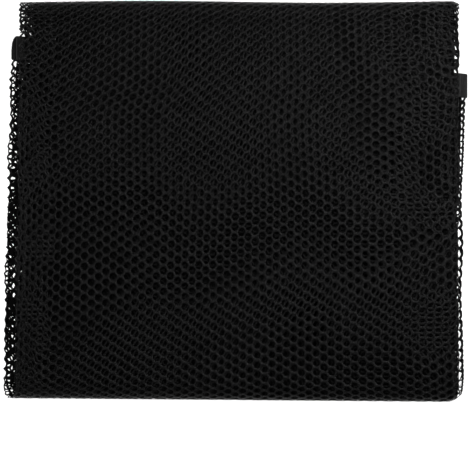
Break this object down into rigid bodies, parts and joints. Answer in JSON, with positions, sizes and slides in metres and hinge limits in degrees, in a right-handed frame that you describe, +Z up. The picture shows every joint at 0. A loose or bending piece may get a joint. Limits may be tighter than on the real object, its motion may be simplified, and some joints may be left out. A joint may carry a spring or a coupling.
{
  "type": "balcony safety net",
  "caption": "Long black safety net of fine hexagonal mesh with a woven edge tape, folded into a flat rectangular pack that lies on a surface.",
  "frame": {"origin": "centre of the folded pack's box, on the surface that it lies on", "axes": "+X along the net's length, to the right in the picture; +Y away from the viewer, towards the picture's top; +Z up"},
  "size_m": [0.3836, 0.3303, 0.0264],
  "materials": {
    "net_cord": "black knotless knitted mesh, matt with a faint yarn sheen",
    "woven_tape": "black woven ribbed tape, matt"
  },
  "bodies": {
    "root": {"net_panel": "net_cord", "binding_tape": "woven_tape"}
  },
  "joints": []
}
